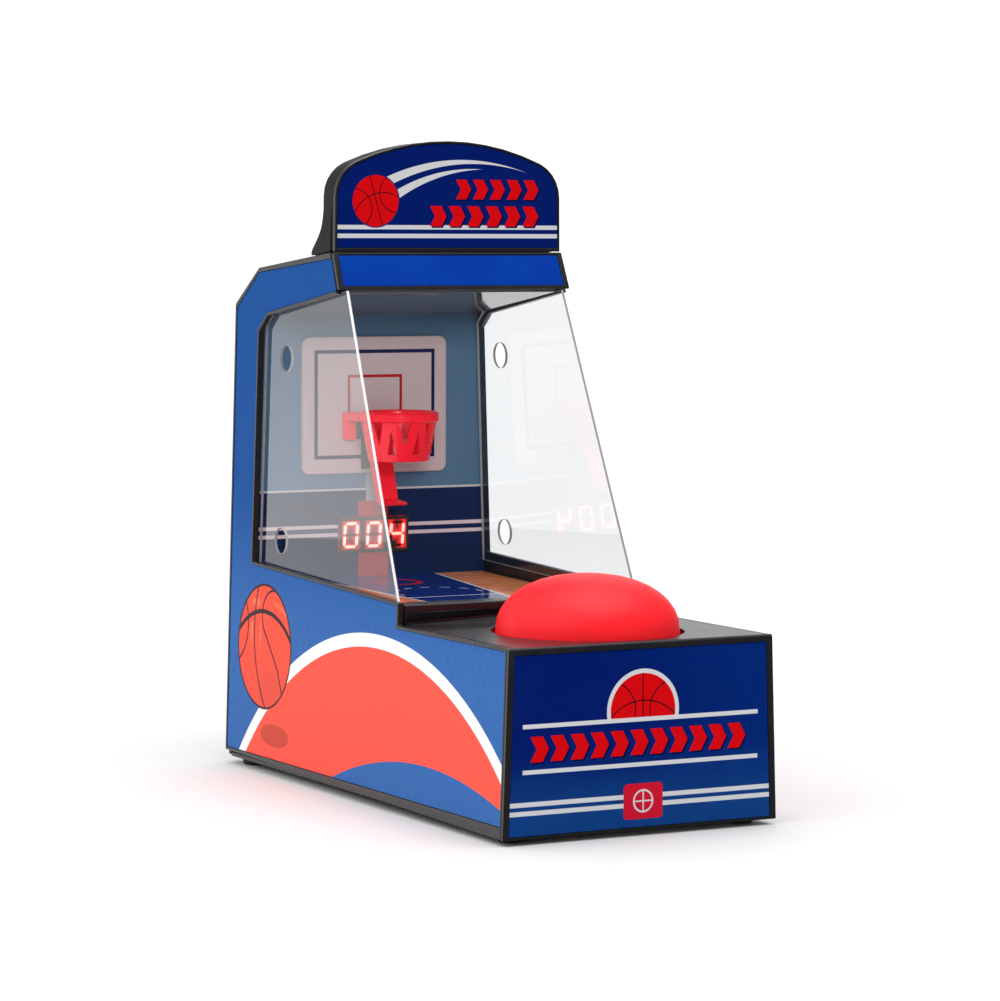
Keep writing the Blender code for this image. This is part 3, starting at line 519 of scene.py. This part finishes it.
def marquee_print():
    """Navy film with a ball in flight, two swooshes, two rows of chevrons and double stripes."""
    art = film("marquee_film", NAVY_INK, 0.2)
    x, z = art.x, art.z
    for low in (161.5, 159.0):
        art.ink(WHITE_INK_WITH_PAINTED_SHADE, band(z, low, low + 1.25))
    chevrons(art, x, z, 3.8, 5, 5.6, 170.3, 176.0, PRINT_RED, DEEP_NAVY_INK)
    chevrons(art, x, z, -4.6, 6, 6.1, 162.4, 168.3, PRINT_RED, DEEP_NAVY_INK)
    flight = both(x * -1.0 - 21.0, z * -1.0 + 168.0)
    upper = both(disc(x, z, (4.65, 118.2), 63.5), -disc(x, z, (8.4, 118.2), 62.4), flight)
    lower = both(disc(x, z, (7.9, 126.2), 52.9), -disc(x, z, (13.25, 124.5), 54.6), flight)
    art.ink(WHITE_INK_WITH_PAINTED_SHADE, either(upper, lower))
    centre, radius = (-23.8, 169.7), 7.4
    art.ink(NAVY_INK, disc(x, z, centre, radius + 0.35))
    seams = [
        line(x, z, (-25.9, 177.5), (-21.4, 162.0)),
        abs(disc(x, z, (-30.8, 167.35), 5.8)),
        abs(disc(x, z, (-21.45, 162.15), 9.9)),
        abs(disc(x, z, (-16.9, 171.9), 5.6)),
    ]
    basketball(art, x, z, centre, radius, PRINT_RED, (0.004, 0.004, 0.006), seams, 0.14)
    return art.material


def hood_print():
    art = film("hood_film", HOOD_BLUE, 0.2)
    art.paint((0.0008, 0.055, 0.4), art.noise(16.0, 4.0, seed=5.0).ramp(0.4, 0.7) * 0.7)
    return art.material


def backboard_print():
    art = film("backboard_film", (0.5, 0.41, 0.42), 0.25)
    x, z = art.x, art.z
    frame_line = ring(box(x, z, (-19.75, 19.75), (92.85, 124.65)), 0.55)
    art.ink((0.004, 0.01, 0.06), frame_line)
    target = ring(box(x, z, (-8.75, 8.75), (80.0, 117.2)), 0.45)
    art.ink((0.4, 0.004, 0.01), both(target, z * -1.0 + 104.0))
    art.ink((0.3, 0.25, 0.25), -box(x, z, (-24.0, 24.0), (88.15, 128.8), 2.0), strength=0.5, blur=0.3)
    return art.material


def rear_wall_print():
    """A hazy blue hall over navy seating, with a pole and its padded red base under the hoop."""
    art = film("rear_wall_film", (0.085, 0.165, 0.27), 0.2)
    x, z = art.x, art.z
    art.paint((0.045, 0.1, 0.17), z.ramp(122.0, 138.0) * 0.8)
    art.paint((0.065, 0.14, 0.23), abs(x).ramp(22.0, 38.0) * 0.7)
    art.ink((0.006, 0.018, 0.07), z - 82.9)
    art.ink((0.5, 0.5, 0.52), ring(z - 82.9, 0.32))
    for middle in (71.8, 69.3):
        art.ink((0.62, 0.52, 0.55), ring(z - middle, 0.55))
    art.ink((0.3, 0.3, 0.31), box(x, z, (-2.5, 2.5), (79.0, 88.5)))
    art.ink((0.42, 0.02, 0.025), box(x, z, (-5.1, 5.1), (40.0, 79.3)))
    return art.material


def court_print():
    """The court: wooden boards, a blue key with white lines, a dashed arc and the hoop's red circle."""
    art = film("court_film", (0.55, 0.175, 0.065), 0.1)
    x, y = art.x, art.y
    grain = art.noise(3.2, 5.0, stretch=(7.0, 1.0, 1.0))
    art.paint((0.75, 0.28, 0.13), grain.ramp(0.35, 0.65) * 0.8)
    art.paint((0.3, 0.085, 0.03), art.noise(1.2, 4.0, stretch=(9.0, 1.0, 1.0), seed=3.0).ramp(0.5, 0.75) * 0.6)
    art.ink((0.1, 0.035, 0.015), abs((y / 5.2).fraction() - 0.5) * -5.2 + 2.5, strength=0.6)
    key_edge = abs(x) - (y - 108.5) * 0.115 - 15.0
    art.ink((0.7, 0.7, 0.74), either(key_edge, disc(x, y, (0.0, 116.0), 15.5)) - 0.45)
    art.ink((0.003, 0.02, 0.15), either(key_edge, disc(x, y, (0.0, 116.0), 15.5)) + 0.35)
    art.ink((0.7, 0.7, 0.74), both(ring(y - 108.5, 0.4), abs(x) - 15.0))
    turn = (y - 116.0).math("ARCTAN2", x)
    dashes = both(ring(disc(x, y, (0.0, 116.0), 13.4), 0.35), band((turn * 2.2).fraction(), 0.0, 0.5),
                  y * -1.0 + 114.0)
    art.ink((0.7, 0.7, 0.74), dashes)
    art.ink((0.45, 0.01, 0.02), ring(disc(x, y, HOOP_CENTRE, 6.4), 1.2), blur=0.4)
    return art.material


# ---------------------------------------------------------------- refined copies of CAD shells


def refined(node, look, body="root", edge=0.12, angle=30.0, segments=2, ends=None):
    """A copy of a CAD node with its facets welded, its edges rounded and its curves shaded smooth.

    A coil spring gives its ends, first the one on the cabinet and then the one on the moving body; the points
    themselves are not used: such a piece is only left unattached, with its transform baked in.
    """
    source = nodes[node]
    body_mesh = bmesh.new()
    body_mesh.from_mesh(source.data)
    bmesh.ops.remove_doubles(body_mesh, verts=body_mesh.verts, dist=2e-6)
    flat = math.radians(0.6)
    bmesh.ops.dissolve_limit(body_mesh, angle_limit=flat, verts=body_mesh.verts, edges=body_mesh.edges)
    mesh = bpy.data.meshes.new(f"{node}_skin")
    body_mesh.to_mesh(mesh)
    body_mesh.free()
    mesh.shade_smooth()
    mesh.set_sharp_from_angle(angle=math.radians(angle))
    piece = bpy.data.objects.new(f"{node}_skin", mesh)
    bpy.context.scene.collection.objects.link(piece)
    for part in look if isinstance(look, (list, tuple)) else [look]:
        mesh.materials.append(part)
    if edge:
        rounding = piece.modifiers.new("edges", "BEVEL")
        rounding.width = edge * MM
        rounding.segments = segments
        rounding.limit_method = "ANGLE"
        rounding.angle_limit = math.radians(max(angle, 40.0))
        rounding.harden_normals = True
        rounding.use_clamp_overlap = True
        even = piece.modifiers.new("normals", "WEIGHTED_NORMAL")
        even.keep_sharp = True
    if ends:
        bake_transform(piece)
    else:
        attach(piece, body)
    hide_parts(node)
    return piece


def wear(node, look):
    """Gives a CAD node that keeps its own mesh a finished material."""
    mesh = nodes[node].data
    mesh.materials.clear()
    mesh.materials.append(look)


def new_piece(name, body_mesh, looks, body, smooth_angle=35.0):
    mesh = bpy.data.meshes.new(name)
    body_mesh.to_mesh(mesh)
    body_mesh.free()
    mesh.shade_smooth()
    mesh.set_sharp_from_angle(angle=math.radians(smooth_angle))
    for look in looks:
        mesh.materials.append(look)
    piece = bpy.data.objects.new(name, mesh)
    bpy.context.scene.collection.objects.link(piece)
    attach(piece, body)
    return piece


def housing():
    black = black_plastic()
    for node in ("left_wall", "right_wall", "front_housing", "roof_cover", "hood_panel", "back_cover",
                 "base_plate", "marquee_plate"):
        refined(node, black)
    refined("marquee_shell", black_plastic("grey_plastic", (0.014, 0.014, 0.016), 0.55, 0.15))
    for node in ("lever_bracket", "score_switch", "spring_seat", "kicker", "kicker_bracket", "battery_box"):
        wear(node, black)
    refined("battery_door", black, body="door")
    pad = rubber()
    for end in ("front", "rear"):
        for side in ("left", "right"):
            refined(f"foot_{end}_{side}", pad)
    metal = steel()
    for number in range(1, 5):
        refined(f"back_screw_{number}", metal, edge=0.08)
    refined("door_screw", metal, body="door", edge=0.08)
    for node in ("lever_pin", "kicker_pin", "switch_body"):
        wear(node, metal)
    for node, (body, middle_y, fixed_z, moving_z) in COIL_SPRINGS.items():
        seats = (place(0.0, middle_y, fixed_z), place(0.0, middle_y, moving_z))
        refined(node, metal, body, edge=0.0, ends=seats)


def labels():
    side = side_print()
    wear("left_label", side)
    wear("right_label", side)
    wear("front_label", front_print())
    wear("marquee_label", marquee_print())
    wear("hood_label", hood_print())


def chamber():
    refined("court_floor", court_print(), edge=0.1)
    refined("rear_wall", rear_wall_print(), edge=0.1)
    refined("backboard", backboard_print(), edge=0.12)
    ceiling = film("ceiling_film", (0.1, 0.1, 0.115), 0.06, 0.8)
    refined("ceiling_panel", ceiling.material, edge=0.1)


def clear_panels():
    """Clear sheets: their faces are see-through; the left one's sloping cut edge is a light copy with a faint
    painted glow, a painted highlight, and the windows' other cut edges are a darker grey.
    """
    sheet = clear_plastic()
    # Painted highlight: a light, faintly glowing edge material; the dull one is the plain darker copy.
    bright = cut_edge("painted_highlight_edge", (0.8, 0.81, 0.82), 0.15)
    dull = cut_edge("dull_edge", (0.32, 0.33, 0.34), 0.0)
    for node in ("front_shield", "left_window", "right_window"):
        panel = refined(node, [sheet, bright, dull], edge=0.0)
        for face in panel.data.polygons:
            across = abs(face.normal.x)
            if across < 0.5 and node != "front_shield":
                sloping_front = face.normal.y < -0.8 and face.area > 4e-5
                face.material_index = 1 if sloping_front and node == "left_window" else 2


def hoop_and_lever():
    hoop_red = red_plastic("hoop_red", (0.95, 0.006, 0.026), 0.25, glow_through=0.1)
    refined("hoop", hoop_red, edge=0.14, angle=35.0)
    refined("score_lever", hoop_red, body="lever", edge=0.1)


def button():
    """The dome, whose plastic has a faint red painted glow."""
    dome = red_plastic("button_skin", (1.0, 0.003, 0.012), 0.48, 0.16, 0.012, specular=0.35)
    shader = dome.node_tree.nodes["Principled BSDF"]
    # Painted glow: the dome's plastic emits a little red light of its own.
    shader.inputs["Emission Color"].default_value = (1.0, 0.0, 0.004, 1.0)
    shader.inputs["Emission Strength"].default_value = 0.12
    refined("thump_button", dome, body="button", edge=0.1, angle=40.0)


def game_ball():
    """A small orange ball with four moulded seams."""
    body = bmesh.new()
    bmesh.ops.create_uvsphere(body, u_segments=96, v_segments=48, radius=1.0)
    centre = (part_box("ball")[0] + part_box("ball")[1]) / 2
    seam_width, bow = 0.045, 0.62
    for vertex in body.verts:
        x, y, z = vertex.co
        to_seam = min(abs(x), abs(z), *(abs(math.hypot(x + side * 1.25, y) - 0.95) for side in (-1, 1))) * bow
        depth = 0.022 * max(0.0, 1.0 - (to_seam / seam_width) ** 2)
        vertex.co = centre + vertex.co * (1.0 - depth) * BALL_RADIUS * MM
    skin = red_plastic("ball_orange_skin", (0.75, 0.1, 0.02), 0.5, 0.3, 0.03)
    ball = new_piece("ball_skin", body, [skin], "game_ball", 60.0)
    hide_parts("ball")


# ---------------------------------------------------------------- score display

DIGIT_HALF_WIDTH = 2.05
DIGIT_HALF_HEIGHT = 3.5
DIGIT_SLANT = 0.07
SEGMENT_HALF = 0.42
LED_MIDDLE_Z = 69.05
DIGIT_PITCH = 7.8
# Segments in the usual order: top, upper right, lower right, bottom, lower left, upper left, middle
SEGMENTS_LIT = {"0": "abcdef", "4": "bcfg"}


def segment_ends(letter):
    w, h = DIGIT_HALF_WIDTH, DIGIT_HALF_HEIGHT
    return {
        "a": ((-w, h), (w, h)), "b": ((w, h), (w, 0)), "c": ((w, 0), (w, -h)), "d": ((-w, -h), (w, -h)),
        "e": ((-w, 0), (-w, -h)), "f": ((-w, h), (-w, 0)), "g": ((-w, 0), (w, 0)),
    }[letter]


def digit(name, centre_x, figure, lit, unlit):
    """Seven hexagonal light bars in a well, the lit ones glowing."""
    body = bmesh.new()
    for letter in "abcdefg":
        start, end = (Vector(point) for point in segment_ends(letter))
        along = (end - start).normalized()
        across = Vector((-along.y, along.x))
        start, end = start + along * 0.28, end - along * 0.28
        half = SEGMENT_HALF
        outline = [start, start + (along + across) * half, end + (across - along) * half, end,
                   end - (along + across) * half, start + (along - across) * half]
        shifted = [(centre_x + point.x + point.y * DIGIT_SLANT, LED_MIDDLE_Z + point.y) for point in outline]
        front = [body.verts.new(place(x, LED_FACE_Y + 0.15, z)) for x, z in shifted]
        back = [body.verts.new(place(x, LED_FACE_Y + 0.5, z)) for x, z in shifted]
        faces = [body.faces.new(front), body.faces.new(back[::-1])]
        for index in range(6):
            after = (index + 1) % 6
            faces.append(body.faces.new((front[index], back[index], back[after], front[after])))
        for face in faces:
            face.material_index = 0 if letter in SEGMENTS_LIT[figure] else 1
    bmesh.ops.recalc_face_normals(body, faces=body.faces)
    new_piece(name, body, [lit, unlit], "root")


def display():
    lit = Surface("segment_lit", (0.9, 0.3, 0.25), 0.4)
    core = lit.noise(2.5, 1.0)
    lit.glow(core * 0.2 + 0.9, (1.0, 0.55, 0.45), 1.3)
    unlit = Surface("segment_unlit", (0.1, 0.012, 0.012), 0.4)
    unlit.bump(unlit.noise(0.4), 0.02)
    case = Surface("display_case", (0.03, 0.028, 0.03), 0.35)
    x, z = case.x, case.z
    glow = None
    for index, figure in enumerate("004"):
        centre = (index - 1) * DIGIT_PITCH
        u, v = x - centre - (z - LED_MIDDLE_Z) * DIGIT_SLANT, z - LED_MIDDLE_Z
        strokes = either(*(line(u, v, *segment_ends(letter)) for letter in SEGMENTS_LIT[figure]))
        # Painted light: a red glow spilling from the lit bars onto the case, fading out within about 2.6 mm.
        painted_spill = strokes.ramp(2.6, 0.3) * (1.0 if figure == "4" else 0.55)
        glow = painted_spill if glow is None else glow.higher(painted_spill)
    inside_well = case.y.ramp(LED_FACE_Y + 0.1, LED_FACE_Y + 0.5)
    # The case carries this painted spill of LED light as emission, only inside the wells.
    case.glow(glow * inside_well, (1.0, 0.01, 0.012), 1.1)
    case.bump(case.noise(0.3), 0.01)
    refined("display_module", case.material, edge=0.08)
    for index, (name, figure) in enumerate((("hundreds", "0"), ("tens", "0"), ("units", "4"))):
        digit(f"digit_{name}", (index - 1) * DIGIT_PITCH, figure, lit.material, unlit.material)


# ---------------------------------------------------------------- inside pieces


def electronics():
    board = Surface("solder_mask", (0.008, 0.09, 0.03), 0.35)
    tracks = board.noise(1.6, 0.0, stretch=(3.0, 1.0, 1.0)).ramp(0.52, 0.54)
    board.paint((0.02, 0.17, 0.06), tracks)
    board.bump(tracks, 0.03)
    wear("main_board", board.material)
    wear("display_board", board.material)
    cone = Surface("speaker_cone", (0.02, 0.02, 0.022), 0.6)
    cone.bump(cone.noise(0.6, 2.0), 0.05)
    wear("speaker", cone.material)
    cell = Surface("cell_wrap", (0.03, 0.12, 0.3), 0.3)
    cell.ink((0.75, 0.75, 0.77), abs(cell.x + 20.5) - 2.2)
    cell.ink((0.6, 0.58, 0.5), cell.x * -1.0 + 20.6)
    cell.bump(cell.noise(0.8), 0.01)
    for number in range(1, 4):
        refined(f"battery_{number}", cell.material, edge=0.15)
    lead = Surface("lead_sleeve", (0.5, 0.012, 0.012), 0.45)
    lead.bump(lead.noise(0.5), 0.02)
    for node in ("speaker_lead", "battery_lead", "display_lead"):
        wear(node, lead.material)
    knob = Surface("knob_white_skin", (0.62, 0.62, 0.6), 0.45)
    knob.bump(knob.noise(0.3), 0.02)
    refined("switch_knob", knob.material, body="knob", edge=0.1)


# ---------------------------------------------------------------- camera, floor and light


def camera():
    data = bpy.data.cameras.new("camera")
    data.sensor_width = SENSOR
    data.lens = SENSOR * LENS_IN_FRAME_WIDTHS
    data.clip_start = 0.05
    data.clip_end = 50.0
    eye = bpy.data.objects.new("camera", data)
    turn = Matrix.Rotation(-CAMERA_YAW, 4, "Z") @ Matrix.Rotation(math.pi / 2 - CAMERA_PITCH, 4, "X")
    eye.matrix_world = Matrix.Translation(CAMERA_PLACE) @ turn @ Matrix.Rotation(-CAMERA_ROLL, 4, "Z")
    bpy.context.scene.collection.objects.link(eye)
    bpy.context.scene.camera = eye


def floor():
    """A white table top with painted shade near the machine, in two pieces; shiny faces don't mirror the near
    one.
    """
    white = Surface("table_white", (0.92, 0.92, 0.92), 0.75, specular=0.2)
    near, far = FLOOR_SHADE
    # Painted shade: the table is darker near the machine.
    white.paint((0.79, 0.79, 0.79), length(white.x, white.y - MACHINE_MIDDLE_Y).ramp(far, near))
    white.bump(white.noise(30.0), 0.02, 0.2)
    for name, keep_front in (("table_top_near", True), ("table_top_far", False)):
        body = bmesh.new()
        bmesh.ops.create_circle(body, cap_ends=True, segments=128, radius=FLOOR_RADIUS)
        bmesh.ops.translate(body, verts=body.verts, vec=FLOOR_CENTRE)
        whole = body.verts[:] + body.edges[:] + body.faces[:]
        bmesh.ops.bisect_plane(body, geom=whole, plane_co=FLOOR_SPLIT_POINT, plane_no=FLOOR_SPLIT_NORMAL,
                               clear_inner=keep_front, clear_outer=not keep_front)
        mesh = bpy.data.meshes.new(name)
        body.to_mesh(mesh)
        body.free()
        mesh.materials.append(white.material)
        top = bpy.data.objects.new(name, mesh)
        top.visible_glossy = not keep_front
        bpy.context.scene.collection.objects.link(top)


def area_light(name, target, distance, azimuth, elevation, size, power, colour=(1, 1, 1)):
    """A soft panel aimed at a point; azimuth 0 is in front, 90 to the right."""
    data = bpy.data.lights.new(name, "AREA")
    data.shape = "RECTANGLE"
    data.size, data.size_y = size
    data.energy = power
    data.color = colour
    lamp = bpy.data.objects.new(name, data)
    a, e = math.radians(azimuth), math.radians(elevation)
    out = Vector((math.sin(a) * math.cos(e), -math.cos(a) * math.cos(e), math.sin(e)))
    lamp.location = Vector(target) + out * distance
    lamp.rotation_euler = (-out).to_track_quat("-Z", "Y").to_euler()
    bpy.context.scene.collection.objects.link(lamp)
    return lamp


def world():
    """A white surround, dimmer in front and to the right; shiny surfaces see a dark room with a white wall."""
    surround = bpy.data.worlds.new("surround")
    surround.use_nodes = True
    tree = surround.node_tree
    direction = tree.nodes.new("ShaderNodeTexCoord").outputs["Generated"]
    split = tree.nodes.new("ShaderNodeSeparateXYZ")
    tree.links.new(direction, split.inputs[0])
    x, y, z = (Field(tree, output) for output in split.outputs)
    shade = y.ramp(-0.1, 0.5) * 0.55 + x.ramp(0.0, -0.8) * 0.1 + z.ramp(0.3, 0.9) * 0.25 + 0.62
    plain = tree.nodes["Background"]
    tree.links.new(shade.socket, plain.inputs["Strength"])
    back = y.ramp(0.45, 0.8)
    low_left = x.ramp(-0.1, -0.4) * (z.ramp(0.02, -0.06) * 0.5 + 1.05)
    shine = back * (x.ramp(-0.2, 0.3) + low_left) + z.ramp(0.6, 0.95) * 1.7 + 0.04
    mirrored = tree.nodes.new("ShaderNodeBackground")
    tree.links.new(shine.socket, mirrored.inputs["Strength"])
    path = tree.nodes.new("ShaderNodeLightPath")
    mix = tree.nodes.new("ShaderNodeMixShader")
    tree.links.new(path.outputs["Is Glossy Ray"], mix.inputs[0])
    tree.links.new(plain.outputs[0], mix.inputs[1])
    tree.links.new(mirrored.outputs[0], mix.inputs[2])
    tree.links.new(mix.outputs[0], tree.nodes["World Output"].inputs["Surface"])
    for background in (plain, mirrored):
        background.inputs["Color"].default_value = (1.0, 1.0, 1.0, 1.0)
    bpy.context.scene.world = surround


def light():
    area_light("key_left", (0, 0, 0.08), 1.2, -75, 35, (0.9, 0.7), 3.2)
    area_light("top_soft", (0, 0, 0.1), 1.1, 20, 78, (0.9, 0.9), 5.5)
    chamber = bpy.data.collections.new("chamber")
    for name in ("rear_wall", "backboard", "court_floor", "hoop", "score_lever", "display_module"):
        chamber.objects.link(bpy.data.objects[f"{name}_skin"])
    fill = area_light("chamber_fill", (0, 0.02, 0.1), 1.3, -22, 16, (0.35, 0.25), 7.0)
    fill.light_linking.receiver_collection = chamber
    scene = bpy.context.scene
    scene.view_settings.view_transform = "Standard"
    scene.view_settings.look = "None"
    scene.view_settings.exposure = 0.0
    scene.view_settings.gamma = 1.0


camera()
floor()
world()
housing()
labels()
chamber()
clear_panels()
hoop_and_lever()
button()
game_ball()
display()
electronics()
light()
